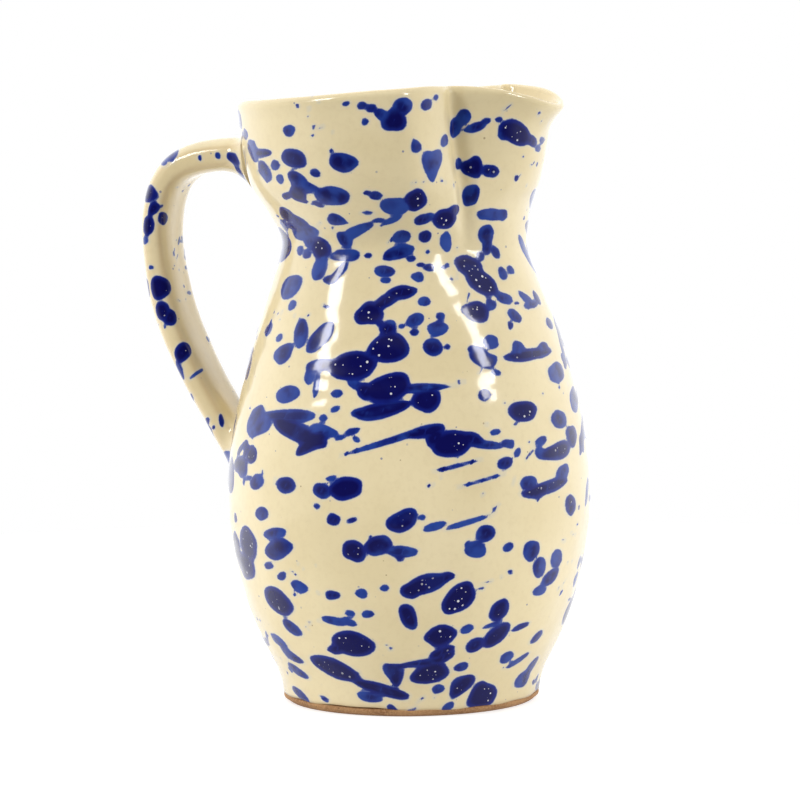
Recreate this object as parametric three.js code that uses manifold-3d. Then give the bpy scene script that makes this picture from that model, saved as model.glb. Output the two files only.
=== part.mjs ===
// A hand-thrown ceramic pitcher with a pinched spout and a pulled strap handle.
// Millimetres, +Z up. The foot rests on Z = 0, the spout points along +X and the handle along -X.
import * as THREE from 'three';
import { mergeVertices } from 'three/addons/utils/BufferGeometryUtils.js';
import Module from 'manifold-3d';

const wasm = await Module();
wasm.setup();

// ---- Driving dimensions ----

const HEIGHT = 250.4; // mean height of the rim above the table
const WALL = 5.4; // wall thickness, measured square to the surface
const FLOOR = 9; // thickness of the bottom, over the foot
const RIM_ROUND = 2.1; // radius of the rounded lip
const FOOT_HEIGHT = 2.7; // the bare clay band under the glaze
const FOOT_RADIUS = 53.4; // where the bare band meets the glazed body
const CONTACT_RADIUS = 50.8; // edge of the flat underside
const CHAMFER_HEIGHT = 1.7;
const GAP = 0.3; // clearance between pieces that touch

const WAIST_Z = 189.5; // narrowest height of the neck
const CREASE_START_Z = WAIST_Z - 37; // where the creases beside the spout fade into the belly
const CREASE_DEPTH_WAIST = 4.5;
const CREASE_DEPTH_RIM = 17.5;
const CREASE_ANGLE_WAIST = 39.5; // degrees either side of the spout
const CREASE_ANGLE_RIM = 48;
const CREASE_REACH = 38; // degrees over which a crease fades on the handle's side
const CREASE_SHARPNESS = 1.6; // 1 is a plain wave, and more is a narrower valley
const SPOUT_SET_BACK_WAIST = 2.6; // how far the spout lobe lies inside the round outline
const SPOUT_SET_BACK_RIM = 8.2;
const LIP_REACH = 6.4; // how far the pouring lip turns out
const LIP_HEIGHT = 14;
const LIP_SPREAD = 24; // degrees
const RIM_RISE = 6; // the creases lift the rim this much above the handle side
const RIM_RISE_START = 52; // degrees from the spout where the rim starts to fall again
const RIM_RISE_SPREAD = 58;
const RIM_DIP = 1.3; // share of the rise that the rim loses at the tip of the spout
const RIM_DIP_SPREAD = 22; // degrees
const RIM_MEAN = 0.385; // share of the rise that brings its mean back to HEIGHT

const STRAP_HALF_WIDTH = 13.8;
const STRAP_HALF_THICKNESS = 7.5;
const STRAP_THINS = 0.06; // share of its thickness that the strap loses from root to tail
const STRAP_SQUARENESS = 0.62; // 1 is an ellipse, and less is squarer
const STRAP_SIDES = 28;
const STRAP_STEPS = 48;
const JOIN_STEPS = 12;
const JOIN_COLLAR = 1.1; // thickness of the clay worked round the strap where a join starts

const AROUND = 80; // steps round the body
const OUTSIDE_STEPS = 30;
const INSIDE_STEPS = 20;
const LIP_STEPS = 5;
const FLOOR_SHARE = 0.06; // share of the outline where the inside wall meets the floor

// ---- Small helpers ----

const radians = THREE.MathUtils.degToRad;
const step = THREE.MathUtils.smoothstep;
const bell = (x, width) => Math.exp(-((x / width) ** 2));

// Joins shared vertices and drops triangles that have collapsed onto the axis.
function weld(source) {
  const bare = new THREE.BufferGeometry();
  bare.setAttribute('position', source.attributes.position);
  bare.setIndex(source.index);
  const welded = mergeVertices(bare, 1e-4);
  const corners = welded.index.array;
  const kept = [];
  for (let i = 0; i < corners.length; i += 3) {
    const [a, b, c] = corners.slice(i, i + 3);
    if (a !== b && b !== c && c !== a) {
      kept.push(a, b, c);
    }
  }
  welded.setIndex(kept);
  return welded;
}

function toSolid(geometry) {
  const welded = weld(geometry);
  const mesh = new wasm.Mesh({
    numProp: 3,
    vertProperties: new Float32Array(welded.attributes.position.array),
    triVerts: new Uint32Array(welded.index.array),
  });
  return new wasm.Manifold(mesh);
}

function toGeometry(solid) {
  const mesh = solid.getMesh();
  const geometry = new THREE.BufferGeometry();
  geometry.setAttribute('position', new THREE.BufferAttribute(mesh.vertProperties, 3));
  geometry.setIndex(new THREE.BufferAttribute(mesh.triVerts, 1));
  geometry.computeVertexNormals();
  return geometry;
}

// ---- The thrown body ----

// The round outline that the potter throws, before the spout is pinched: radius, height.
const thrownOutline = new THREE.SplineCurve([
  new THREE.Vector2(FOOT_RADIUS, FOOT_HEIGHT + GAP),
  new THREE.Vector2(56.1, 13.5),
  new THREE.Vector2(63.8, 29.5),
  new THREE.Vector2(71.3, 52.5),
  new THREE.Vector2(75.5, 82.5),
  new THREE.Vector2(72.9, 113.5),
  new THREE.Vector2(65.4, 144.5),
  new THREE.Vector2(56.3, 172.5),
  new THREE.Vector2(51.7, WAIST_Z),
  new THREE.Vector2(56.4, WAIST_Z + 11),
  new THREE.Vector2(63.8, WAIST_Z + 23.5),
  new THREE.Vector2(67.4, WAIST_Z + 39),
  new THREE.Vector2(69.4, HEIGHT - RIM_ROUND),
]);

// How far the pinched spout moves the round surface, in radius, at an angle from the spout.
function pinch(angle, z) {
  const away = Math.abs(angle);
  const toRim = THREE.MathUtils.clamp((z - WAIST_Z) / (HEIGHT - WAIST_Z), -0.5, 1);
  const crease = radians(THREE.MathUtils.lerp(CREASE_ANGLE_WAIST, CREASE_ANGLE_RIM, toRim));
  const waistShare = CREASE_DEPTH_WAIST * step(z, CREASE_START_Z, WAIST_Z);
  const rimShare = (CREASE_DEPTH_RIM - CREASE_DEPTH_WAIST) * step(z, WAIST_Z, WAIST_Z + 43);
  const depth = waistShare + rimShare;
  const inSpout = away < crease;
  const reach = inSpout ? crease : radians(CREASE_REACH);
  const across = Math.min(Math.abs(away - crease) / reach, 1);
  const valley = ((1 + Math.cos(Math.PI * across)) / 2) ** CREASE_SHARPNESS;
  const waistSetBack = SPOUT_SET_BACK_WAIST * step(z, WAIST_Z - 47, WAIST_Z);
  const rimSetBack = (SPOUT_SET_BACK_RIM - SPOUT_SET_BACK_WAIST) * step(z, WAIST_Z, WAIST_Z + 21);
  const setBack = inSpout ? (waistSetBack + rimSetBack) * (1 - valley) : 0;
  const lip = LIP_REACH * step(z, HEIGHT - LIP_HEIGHT, HEIGHT + 1) * bell(angle, radians(LIP_SPREAD));
  return lip - valley * depth - setBack;
}

// The rim rises at the creases, and dips at the handle and at the tip of the spout.
function rimLift(angle, z) {
  const away = Math.abs(angle);
  const pastCrease = Math.max(away - radians(RIM_RISE_START), 0);
  const rise = bell(pastCrease, radians(RIM_RISE_SPREAD));
  const dip = RIM_DIP * bell(angle, radians(RIM_DIP_SPREAD));
  return RIM_RISE * (rise - dip - RIM_MEAN) * step(z, WAIST_Z, HEIGHT);
}

// Turns a profile round the axis, then pinches it.
function vessel(profile) {
  const geometry = weld(new THREE.LatheGeometry(profile, AROUND).rotateX(Math.PI / 2));
  const position = geometry.attributes.position;
  for (let i = 0; i < position.count; i += 1) {
    const x = position.getX(i);
    const y = position.getY(i);
    const z = position.getZ(i);
    const angle = Math.atan2(y, x);
    const radius = Math.hypot(x, y);
    const scale = radius > 1 ? (radius + pinch(angle, z)) / radius : 1;
    position.setXYZ(i, x * scale, y * scale, z + rimLift(angle, z));
  }
  return geometry;
}

// A point on the outline moved square to it: outwards if the distance is positive.
function offsetOutline(share, distance) {
  const point = thrownOutline.getPointAt(share);
  const along = thrownOutline.getTangentAt(share);
  return new THREE.Vector2(point.x + along.y * distance, point.y - along.x * distance);
}

function bodyProfile() {
  const bottom = FOOT_HEIGHT + GAP;
  const profile = [new THREE.Vector2(0, bottom), new THREE.Vector2(FOOT_RADIUS / 2, bottom)];
  for (let i = 0; i <= OUTSIDE_STEPS; i += 1) {
    profile.push(offsetOutline(i / OUTSIDE_STEPS, 0));
  }
  const lipCentre = offsetOutline(1, -RIM_ROUND);
  for (let i = 1; i < LIP_STEPS; i += 1) {
    const turn = (Math.PI * i) / LIP_STEPS;
    const x = lipCentre.x + RIM_ROUND * Math.cos(turn);
    profile.push(new THREE.Vector2(x, lipCentre.y + RIM_ROUND * Math.sin(turn)));
  }
  for (let i = INSIDE_STEPS; i >= 0; i -= 1) {
    const share = THREE.MathUtils.lerp(FLOOR_SHARE, 1, i / INSIDE_STEPS);
    const thickness = THREE.MathUtils.lerp(WALL, 2 * RIM_ROUND, step(share, 0.86, 1));
    profile.push(offsetOutline(share, -thickness));
  }
  const floorTop = bottom + FLOOR;
  profile.push(new THREE.Vector2(FOOT_RADIUS - 12, floorTop));
  profile.push(new THREE.Vector2(FOOT_RADIUS / 2, floorTop));
  profile.push(new THREE.Vector2(0, floorTop));
  return profile;
}

// The outside of the body as one solid with no hollow, grown by the clearance, to cut the handle.
function bodyEnvelope() {
  const profile = [new THREE.Vector2(0, 0)];
  for (let i = 0; i <= OUTSIDE_STEPS; i += 1) {
    profile.push(offsetOutline(i / OUTSIDE_STEPS, GAP + 0.1));
  }
  profile.push(new THREE.Vector2(0, HEIGHT));
  return toSolid(vessel(profile));
}

// ---- The bare foot ----

function footGeometry() {
  return new THREE.LatheGeometry([
    new THREE.Vector2(0, 0),
    new THREE.Vector2(CONTACT_RADIUS, 0),
    new THREE.Vector2(FOOT_RADIUS, CHAMFER_HEIGHT),
    new THREE.Vector2(FOOT_RADIUS, FOOT_HEIGHT),
    new THREE.Vector2(0, FOOT_HEIGHT),
  ], AROUND).rotateX(Math.PI / 2);
}

// ---- The pulled handle ----

// Centre line of the strap, from inside the neck wall to inside the belly wall.
const strapPath = new THREE.CatmullRomCurve3([
  new THREE.Vector3(-58, 0, 226.2),
  new THREE.Vector3(-80, 0, 225.8),
  new THREE.Vector3(-95.5, 0, 222.4),
  new THREE.Vector3(-105, 0, 214),
  new THREE.Vector3(-109.3, 0, 199.5),
  new THREE.Vector3(-109, 0, 182.5),
  new THREE.Vector3(-103.9, 0, 158.5),
  new THREE.Vector3(-93, 0, 134.2),
  new THREE.Vector3(-78.8, 0, 110.5),
  new THREE.Vector3(-64, 0, 86.5),
]);

// One flattened oval across the strap. Above is its outer side, below the finger side.
function strapRing(share, width, above, below) {
  const centre = strapPath.getPointAt(share);
  const along = strapPath.getTangentAt(share);
  const outward = new THREE.Vector3(along.z, 0, -along.x);
  const ring = [];
  for (let i = 0; i < STRAP_SIDES; i += 1) {
    const turn = (2 * Math.PI * i) / STRAP_SIDES;
    const across = Math.sign(Math.cos(turn)) * Math.abs(Math.cos(turn)) ** STRAP_SQUARENESS;
    const through = Math.sign(Math.sin(turn)) * Math.abs(Math.sin(turn)) ** STRAP_SQUARENESS;
    const point = centre.clone();
    point.y += width * across;
    point.addScaledVector(outward, (through > 0 ? above : below) * through);
    ring.push(point);
  }
  return ring;
}

// A closed skin over a row of rings, with flat ends.
function loft(rings) {
  const sides = rings[0].length;
  const points = rings.flat();
  const faces = [];
  for (let r = 0; r < rings.length - 1; r += 1) {
    for (let i = 0; i < sides; i += 1) {
      const a = r * sides + i;
      const b = r * sides + ((i + 1) % sides);
      faces.push(a, a + sides, b, b, a + sides, b + sides);
    }
  }
  const last = (rings.length - 1) * sides;
  for (let i = 1; i < sides - 1; i += 1) {
    faces.push(0, i, i + 1);
    faces.push(last, last + i + 1, last + i);
  }
  const geometry = new THREE.BufferGeometry().setFromPoints(points);
  geometry.setIndex(faces);
  return geometry;
}

// The strap is a little wider at its root and narrows towards the belly.
function strapWidth(share) {
  return STRAP_HALF_WIDTH * (1.06 - 0.12 * share);
}

function strapThickness(share) {
  return STRAP_HALF_THICKNESS * (1 - STRAP_THINS * share);
}

// The whole strap, grown on all sides by the clearance that is asked for.
function strapSolid(extra) {
  const rings = [];
  for (let i = 0; i <= STRAP_STEPS; i += 1) {
    const share = i / STRAP_STEPS;
    const thick = strapThickness(share) + extra;
    rings.push(strapRing(share, strapWidth(share) + extra, thick, thick));
  }
  return toSolid(loft(rings));
}

// The clay worked round one end of the strap: it swells towards the wall that it is pressed on.
function joinSolid(from, to, flare) {
  const rings = [];
  const collar = GAP + JOIN_COLLAR;
  for (let i = 0; i <= JOIN_STEPS; i += 1) {
    const closeness = i / JOIN_STEPS;
    const share = THREE.MathUtils.lerp(from, to, closeness);
    const swell = closeness ** 1.7;
    const thick = strapThickness(share) + collar;
    rings.push(strapRing(
      share,
      strapWidth(share) + collar + flare.side * swell,
      thick + flare.above * swell,
      thick + flare.below * swell,
    ));
  }
  return toSolid(loft(to > from ? rings : rings.reverse()));
}

// ---- The object ----

const CREAM_GLAZE = { color: 0xe9dfc0, roughness: 0.12, metalness: 0 };
const BARE_CLAY = { color: 0xb4714a, roughness: 0.85, metalness: 0 };

const group = new THREE.Group();

function addPiece(name, geometry, finish) {
  const mesh = new THREE.Mesh(geometry, new THREE.MeshStandardMaterial(finish));
  mesh.name = name;
  group.add(mesh);
}

const envelope = bodyEnvelope();
const grownStrap = strapSolid(GAP);

addPiece('body', vessel(bodyProfile()), CREAM_GLAZE);
addPiece('foot', footGeometry(), BARE_CLAY);
addPiece('handle', toGeometry(strapSolid(0).subtract(envelope)), CREAM_GLAZE);

// Each join runs from a share of the strap's length to one just inside the wall.
const upperJoin = joinSolid(0.17, 0.03, { side: 6, above: 0.6, below: 9 });
const lowerJoin = joinSolid(0.83, 0.98, { side: 4, above: 3, below: 4 });
addPiece('upper_handle_join', toGeometry(upperJoin.subtract(envelope).subtract(grownStrap)), CREAM_GLAZE);
addPiece('lower_handle_join', toGeometry(lowerJoin.subtract(envelope).subtract(grownStrap)), CREAM_GLAZE);

export default group;
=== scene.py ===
# %% [markdown]
# # A splash-glazed pitcher
#
# This notebook builds one hand-thrown earthenware pitcher: a round body with a pinched spout, a
# pulled strap handle, a glossy cream glaze with cobalt splashes, and a bare clay foot.
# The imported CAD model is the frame. Every Blender piece stands in for CAD nodes, in the same place.

# %% Load the frame
import math

import bpy
import numpy as np
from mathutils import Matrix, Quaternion, Vector


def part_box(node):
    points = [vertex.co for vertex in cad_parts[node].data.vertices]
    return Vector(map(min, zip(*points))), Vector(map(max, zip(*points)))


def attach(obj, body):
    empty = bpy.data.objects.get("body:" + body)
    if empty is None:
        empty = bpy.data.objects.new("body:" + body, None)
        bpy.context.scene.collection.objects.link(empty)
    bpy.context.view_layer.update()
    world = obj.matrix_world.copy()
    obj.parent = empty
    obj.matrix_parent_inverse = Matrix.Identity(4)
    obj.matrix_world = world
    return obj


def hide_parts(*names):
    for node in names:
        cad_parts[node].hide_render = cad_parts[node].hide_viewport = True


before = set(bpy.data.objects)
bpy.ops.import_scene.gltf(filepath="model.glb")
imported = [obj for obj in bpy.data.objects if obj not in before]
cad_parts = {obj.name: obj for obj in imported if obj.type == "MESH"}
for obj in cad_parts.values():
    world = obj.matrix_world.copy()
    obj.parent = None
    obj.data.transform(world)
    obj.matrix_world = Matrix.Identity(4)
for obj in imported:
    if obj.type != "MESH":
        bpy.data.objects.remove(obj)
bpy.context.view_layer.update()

MM = 0.001  # the frame is in metres, and a potter thinks in millimetres
FOOT_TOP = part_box("foot")[1].z / MM

# %% [markdown]
# ## Camera
#
# The pitcher is seen from its side, with the spout turned a little towards us and the handle a
# little away. A long lens from 1.65 m keeps the sides of the pot nearly parallel. The camera
# stands just over the rim, so the rim is a thin line and only the foot shows its curve. It is held
# a touch askew, by about half a degree.

# %% Camera
FRONT = math.radians(-70)  # the side that faces the camera, as an angle round from the spout
CAMERA_DISTANCE = 1650  # from the axis of the pot
CAMERA_HEIGHT = 268
AIM_HEIGHT = 124
AIM_LEFT = 3.5  # the view is centred a little to the handle's side of the axis
CAMERA_ROLL = math.radians(-0.6)

front = Vector((math.cos(FRONT), math.sin(FRONT), 0))
right = Vector((-math.sin(FRONT), math.cos(FRONT), 0))
aim = (right * -AIM_LEFT + Vector((0, 0, AIM_HEIGHT))) * MM
camera = bpy.data.objects.new("camera", bpy.data.cameras.new("camera"))
bpy.context.collection.objects.link(camera)
camera.location = (front * CAMERA_DISTANCE + Vector((0, 0, CAMERA_HEIGHT))) * MM
turned = (aim - camera.location).to_track_quat("-Z", "Y") @ Quaternion((0, 0, 1), CAMERA_ROLL)
camera.rotation_euler = turned.to_euler()
camera.data.lens = 180
camera.data.sensor_width = 36
camera.data.clip_start = 0.1
camera.data.clip_end = 30
bpy.context.scene.camera = camera
looks_down = math.degrees(math.atan2(CAMERA_HEIGHT - AIM_HEIGHT, CAMERA_DISTANCE))
print("Camera looks down by", round(looks_down, 1), "degrees")

# %% [markdown]
# ## The shape that the potter throws
#
# A thrown pot is a curve turned round an axis, so the wall starts as one outline. A smooth curve
# through a few heights is enough, and it is measured along its own length, so that the mesh rows
# come out evenly spaced. The outline below repeats the one in the CAD part, in millimetres.

# %% Smooth curves through a few points
def smooth_curve(points, samples=2000):
    """Catmull-Rom curve through the points, as evenly spaced samples and its length."""
    p = np.array(points, float)
    padded = np.vstack([p[0], p, p[-1]])
    spans = len(p) - 1
    t = np.linspace(0, spans, samples)
    i = np.minimum(t.astype(int), spans - 1)
    f = (t - i)[:, None]
    a, b, c, d = (padded[i + k] for k in range(4))
    curve = 0.5 * (2 * b + (c - a) * f + (2 * a - 5 * b + 4 * c - d) * f**2
                   + (3 * b - a - 3 * c + d) * f**3)
    along = np.concatenate([[0], np.cumsum(np.linalg.norm(np.diff(curve, axis=0), axis=1))])
    even = np.linspace(0, along[-1], samples)
    return np.stack([np.interp(even, along, curve[:, k]) for k in range(p.shape[1])], 1), along[-1]


def ramp(x, low, high):
    """0 below low, 1 above high, and smooth between."""
    f = np.clip((x - low) / (high - low), 0, 1)
    return f * f * (3 - 2 * f)


def bell(x, width):
    """1 at zero, falling away smoothly on both sides."""
    return np.exp(-((x / width) ** 2))


# %% The thrown outline
HEIGHT = 250.4
WAIST = 189.5
RIM_ROUND = 2.1
FOOT_RADIUS = 53.4
GLAZE_EDGE = FOOT_TOP + 0.3  # where the glaze stops above the bare clay

outline, outline_length = smooth_curve([
    (FOOT_RADIUS, GLAZE_EDGE), (56.1, 13.5), (63.8, 29.5), (71.3, 52.5), (75.5, 82.5),
    (72.9, 113.5), (65.4, 144.5), (56.3, 172.5), (51.7, WAIST), (56.4, WAIST + 11),
    (63.8, WAIST + 23.5), (67.4, WAIST + 39), (69.4, HEIGHT - RIM_ROUND),
])
print("The wall is", round(outline_length), "mm long from foot to rim")

# %% [markdown]
# ## Pinching the spout
#
# While the clay is soft, the potter presses two creases into the collar and pulls the lip out
# between them. Here that is a change of radius that depends on the angle and the height: two
# valleys, a lobe between them that lies a little inside the round outline, and a lip that turns
# out at the very top. The clay squeezed out of the creases also lifts the rim beside them.

# %% Sizes of the pinched spout, in mm and as angles from the spout
CREASE_ANGLE = 39.5  # degrees either side of the spout, at the waist
CREASE_OPENS = 8.5  # degrees that a crease lies further out at the rim
CREASE_DEPTH = 4.5  # at the waist
CREASE_DEEPENS = 13.0  # what is added up to the rim
CREASE_REACH = math.radians(38)  # how far a crease fades on the handle's side
CREASE_SHARPNESS = 1.6  # 1 is a plain wave, and more is a narrower valley
FOLD = 3.4  # how much deeper the narrow fold at the bottom of a crease is
FOLD_WIDTH = math.radians(3.8)
LOBE_SET_BACK = 1.2  # how far the spout's lobe lies inside the round outline, at the waist
LOBE_SET_BACK_ADDED = 7.0
LIP_REACH = 6.4  # how far the pouring lip turns out
LIP_SPREAD = math.radians(24)
RIM_RISE = 6.0
RIM_RISE_START = math.radians(52)
RIM_RISE_SPREAD = math.radians(58)
RIM_DIP = 1.3  # how much of the rise the rim loses at the tip of the spout
RIM_DIP_SPREAD = math.radians(22)
RIM_MEAN = 0.385  # share of the rise that brings its mean back to HEIGHT


# %% Pinch
def pinch(angle, z):
    """How far the pinched spout moves the round wall, in mm of radius."""
    away = np.abs(angle)
    to_rim = np.clip((z - WAIST) / (HEIGHT - WAIST), -0.5, 1)
    crease = np.radians(CREASE_ANGLE + CREASE_OPENS * to_rim)
    depth = CREASE_DEPTH * ramp(z, WAIST - 37, WAIST) + CREASE_DEEPENS * ramp(z, WAIST, WAIST + 43)
    reach = np.where(away < crease, crease, CREASE_REACH)
    across = np.minimum(np.abs(away - crease) / reach, 1)
    valley = ((1 + np.cos(np.pi * across)) / 2) ** CREASE_SHARPNESS
    set_back = LOBE_SET_BACK * ramp(z, WAIST - 47, WAIST)
    set_back += LOBE_SET_BACK_ADDED * ramp(z, WAIST, WAIST + 21)
    set_back = np.where(away < crease, set_back * (1 - valley), 0)
    lip = LIP_REACH * ramp(z, HEIGHT - 14, HEIGHT + 1) * bell(angle, LIP_SPREAD)
    fold = FOLD * bell(away - crease, FOLD_WIDTH) * ramp(z, WAIST - 6, WAIST + 26)
    return lip - valley * depth - set_back - fold


def rim_lift(angle, z):
    """How far the rim rises beside the creases, and dips at the handle and the spout's tip."""
    past_crease = np.maximum(np.abs(angle) - RIM_RISE_START, 0)
    rise = bell(past_crease, RIM_RISE_SPREAD) - RIM_DIP * bell(angle, RIM_DIP_SPREAD) - RIM_MEAN
    return RIM_RISE * rise * ramp(z, WAIST, HEIGHT)


def pinched(angle, radius, z):
    """Points of the pinched wall, in mm, from the thrown radius and height."""
    moved = radius + np.where(radius > 1, pinch(angle, z), 0)
    return np.stack([moved * np.cos(angle), moved * np.sin(angle), z + rim_lift(angle, z)], -1)


# %% [markdown]
# ## The wall as one closed skin
#
# The profile runs up the outside, over the rounded lip, down the inside and across the floor.
# Turned round the axis it makes a grid, and a grid is easy to paint on: every point knows its
# angle and its distance along the wall. The outside gets most of the rows, because the edges of
# the splashes are carried by its points.

# %% Profile of the wall
WALL = 5.4  # thickness of the wall
FLOOR_TOP = GLAZE_EDGE + 9
RIM_BEAD = 0.55  # how far the rim's soft bead stands out
COLUMNS = 336
OUTSIDE_ROWS = 204
INSIDE_ROWS = 46

outline_slope = np.gradient(outline, axis=0)
outline_slope /= np.linalg.norm(outline_slope, axis=1)[:, None]


def offset_outline(share, distance):
    """A point on the outline, moved outwards and square to it."""
    at = share * (len(outline) - 1)
    index = np.arange(len(outline))
    r, z, along_r, along_z = (np.interp(at, index, column)
                              for column in (*outline.T, *outline_slope.T))
    return np.stack([r + along_z * distance, z - along_r * distance], -1)


outside = offset_outline(np.linspace(0, 1, OUTSIDE_ROWS), 0)
outside[:, 0] += RIM_BEAD * bell(outside[:, 1] - (HEIGHT - 3.2), 2.6)
lip_centre = offset_outline(np.array(1.0), -RIM_ROUND)
turn = np.linspace(0, math.pi, 10)[1:-1]
lip = lip_centre + RIM_ROUND * np.stack([np.cos(turn), np.sin(turn)], -1)
share = np.linspace(1, 0.06, INSIDE_ROWS)
thickness = WALL + (2 * RIM_ROUND - WALL) * ramp(share, 0.86, 1)
inside = offset_outline(share, -thickness)
corner = np.array([(48.6, FLOOR_TOP + 2.4), (45.2, FLOOR_TOP + 0.6), (40, FLOOR_TOP)])
floor = np.stack([np.linspace(34, 0.6, 7), np.full(7, FLOOR_TOP)], -1)
hem = np.array([(FOOT_RADIUS - 2.2, GLAZE_EDGE + 0.6), (FOOT_RADIUS - 0.5, GLAZE_EDGE - 0.1)])
profile = np.vstack([hem, outside, lip, inside, corner, floor])
wall_start = len(hem)
wall_length = np.concatenate([[0], np.cumsum(np.linalg.norm(np.diff(profile, axis=0), axis=1))])
wall_length -= wall_length[wall_start]
print("The profile has", len(profile), "rows, from the hem of the glaze to the middle of the floor")


# %% Turn a grid of points into a closed mesh
def ring_mesh(name, points):
    """A mesh through rings of points, in metres, closed by one face at each end."""
    rows, columns = points.shape[:2]
    index = np.arange(rows * columns).reshape(rows, columns)
    beside = np.roll(index, -1, axis=1)
    quads = np.stack([index[:-1], beside[:-1], beside[1:], index[1:]], -1).reshape(-1, 4)
    ends = [index[0, ::-1].tolist(), index[-1].tolist()]
    mesh = bpy.data.meshes.new(name)
    mesh.from_pydata(points.reshape(-1, 3).tolist(), [], quads.tolist() + ends)
    mesh.shade_smooth()
    piece = bpy.data.objects.new(name, mesh)
    bpy.context.collection.objects.link(piece)
    return piece


def add_map(mesh, across, along):
    """The map that the baked colours go on: once round is its width, and the rings go up it."""
    u = np.append(across, 1.0)
    v = (along - along[0]) / (along[-1] - along[0])
    row, column = np.divmod(np.arange((len(v) - 1) * len(across)), len(across))
    corner_steps = ((0, 0), (1, 0), (1, 1), (0, 1))
    quads = np.stack([np.stack([u[column + i], v[row + j]], -1) for i, j in corner_steps], 1)
    first_end = np.stack([u[:-1][::-1], np.zeros(len(across))], -1)
    last_end = np.stack([u[:-1], np.ones(len(across))], -1)
    corners = np.concatenate([quads.reshape(-1, 2), first_end, last_end])
    layer = mesh.uv_layers.new(name="OFBake")
    layer.data.foreach_set("uv", (0.002 + 0.996 * corners).astype(np.float32).ravel())


# %% [markdown]
# The front of the pot is what a visitor sees first, so its columns stand closer together than
# those at the back. On the map of the body the inside gets less room than the painted outside.

# %% Body
CROWDING = 0.3  # share by which the columns close up at the front
turns = np.arange(COLUMNS) / COLUMNS
angles = FRONT + 2 * math.pi * turns - CROWDING * np.sin(2 * math.pi * turns)
grid_angle, grid_row = np.meshgrid(angles, np.arange(len(profile)))
spout_angle = (grid_angle + math.pi) % (2 * math.pi) - math.pi
# The glaze was wiped off the foot by hand, so its lower edge wavers.
hem_wave = 0.45 * np.sin(3 * grid_angle + 1)
hem_wave += 0.3 * np.sin(7 * grid_angle) + 0.2 * np.sin(16 * grid_angle)
above_hem = wall_length[grid_row]
near_hem = bell(np.maximum(above_hem, 0), 5) * ramp(above_hem, -9, 0)
body_points = pinched(spout_angle, profile[grid_row, 0], profile[grid_row, 1])
body_points[..., 2] += hem_wave * near_hem
body = ring_mesh("body_glazed", body_points * MM)

INSIDE_SCALE = 0.3
lip_end = wall_start + OUTSIDE_ROWS + len(lip)
map_length = wall_length.copy()
map_length[lip_end:] = map_length[lip_end] + INSIDE_SCALE * (map_length[lip_end:] - map_length[lip_end])
add_map(body.data, turns, map_length)
print(body.name, "has", len(body.data.polygons) * 2, "triangles")

# %% [markdown]
# ## Cobalt splashes
#
# The potter flicks cobalt slip at the cream pot with a loaded brush. Each drop lands as a round
# or drawn-out blot, drops that touch run together, and the brush leaves lines of ever smaller
# drops. A picture of that can't be used here, so each blot is a small formula: an oval with a
# wobbly edge, perhaps thinner at one end. What is stored on the mesh is the depth inside the
# nearest blot, in mm, because a depth can be blended smoothly between points, and the material
# then cuts a sharp edge at zero and knows how thick the colour lies.

# %% Paint blots on a grid
FAR_OUTSIDE = -6.0
RUN_TOGETHER = 0.9  # how readily neighbouring blots flow into each other, in mm
CREEP = 0.08  # how far the colour creeps outwards in the kiln, in mm
WOBBLE = np.array([0.035, 0.04, 0.02, 0.014, 0.01])  # how strongly an edge waves, slow waves first


class GlazeField:
    """Depth of colour and its strength, on a grid that is `columns` round and `ways` along."""

    def __init__(self, angles, ways, radii):
        self.angles, self.ways, self.radii = angles, ways, radii
        self.depth = np.full((len(ways), len(angles)), FAR_OUTSIDE)
        self.tone = np.full((len(ways), len(angles)), 0.6)

    def blot(self, rng, angle, way, long, short, tilt=0, taper=0, load=0.6, squeeze=1.0):
        """One blot: long and short are its size, tilt turns it, taper thins its far end.

        Load is how much cobalt it holds. A squeeze below 1 widens it round the pot, for a size
        that was judged at a slant."""
        reach = (max(long, short) / 2 + 3) / squeeze
        turned = (self.angles - angle + math.pi) % (2 * math.pi) - math.pi
        radius = np.interp(way, self.ways, self.radii)
        columns = np.flatnonzero(np.abs(turned) * radius < reach)
        rows = np.flatnonzero(np.abs(self.ways - way) < reach)
        amount = rng.normal(0, 1, len(WOBBLE)) * WOBBLE
        phase = rng.uniform(0, 2 * math.pi, len(WOBBLE))
        if not len(rows) or not len(columns):
            return
        across = turned[columns][None, :] * radius * squeeze
        along = (self.ways[rows] - way)[:, None]
        c, s = math.cos(math.radians(tilt)), math.sin(math.radians(tilt))
        x, y = across * c + along * s, along * c - across * s
        a = long / 2
        b = short / 2 * np.maximum(1 - taper * np.clip(x / a, -1, 1), 0.15)
        around = np.arctan2(y / b, x / a)
        waves = enumerate(zip(amount, phase), start=2)
        wobble = 1 + sum(size * np.cos(k * around + turn) for k, (size, turn) in waves)
        near = np.hypot(x / a, y / b) / wobble + 1e-6
        steep = np.hypot(x / a**2, y / b**2) / wobble + 1e-6
        depth = near * (1 - near) / steep + CREEP
        part = np.ix_(rows, columns)
        old = self.depth[part]
        share = np.clip(0.5 + 0.5 * (depth - old) / RUN_TOGETHER, 0, 1)
        self.depth[part] = old + (depth - old) * share + RUN_TOGETHER * share * (1 - share)
        self.tone[part] += (load - self.tone[part]) * share

    def store(self, mesh, rows):
        """Writes the field to the mesh, from its first row on. Other rows get no colour."""
        total = len(mesh.vertices)
        for name, grid, empty in (("splash", self.depth, FAR_OUTSIDE), ("tone", self.tone, 0.6)):
            values = np.full(total, empty, np.float32)
            start = rows * grid.shape[1]
            values[start:start + grid.size] = np.clip(grid, FAR_OUTSIDE, 9).ravel()
            mesh.attributes.new(name, "FLOAT", "POINT").data.foreach_set("value", values)
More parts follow.
